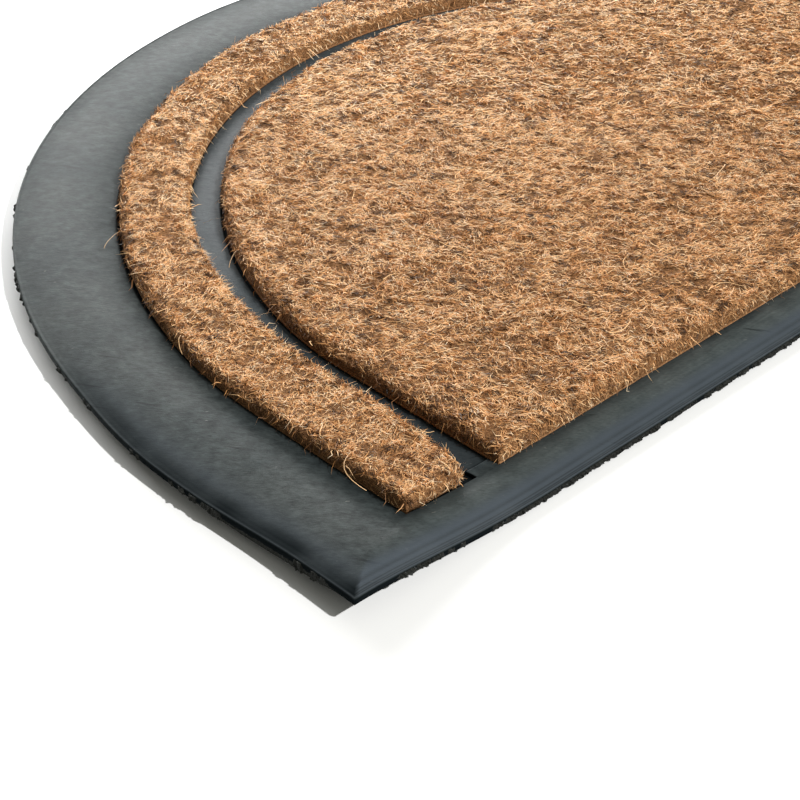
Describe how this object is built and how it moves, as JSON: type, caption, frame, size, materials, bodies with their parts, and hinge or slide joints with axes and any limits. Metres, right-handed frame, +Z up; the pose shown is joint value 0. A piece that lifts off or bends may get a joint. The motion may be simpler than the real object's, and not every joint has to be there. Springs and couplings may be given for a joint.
{
  "type": "half-round rubber and coir doormat",
  "caption": "Half-round doormat: a moulded rubber tray with a raised border holds an arch-shaped strip and a half-round panel of coir pile.",
  "frame": {"origin": "on the floor, at the centre of the mat's plan box", "axes": "+X to the right along the straight front edge, +Y from the front edge towards the top of the arch, +Z up"},
  "size_m": [0.914, 0.61, 0.0192],
  "materials": {
    "rubber": "matt moulded rubber, dark blue-grey, fine streaks and scuffs, dark trimmed edge",
    "coir": "brushed natural coconut fibre, tan to brown, rough cut pile"
  },
  "bodies": {
    "root": {"rubber_base": "rubber", "coir_band": "coir", "coir_field": "coir"}
  },
  "joints": []
}
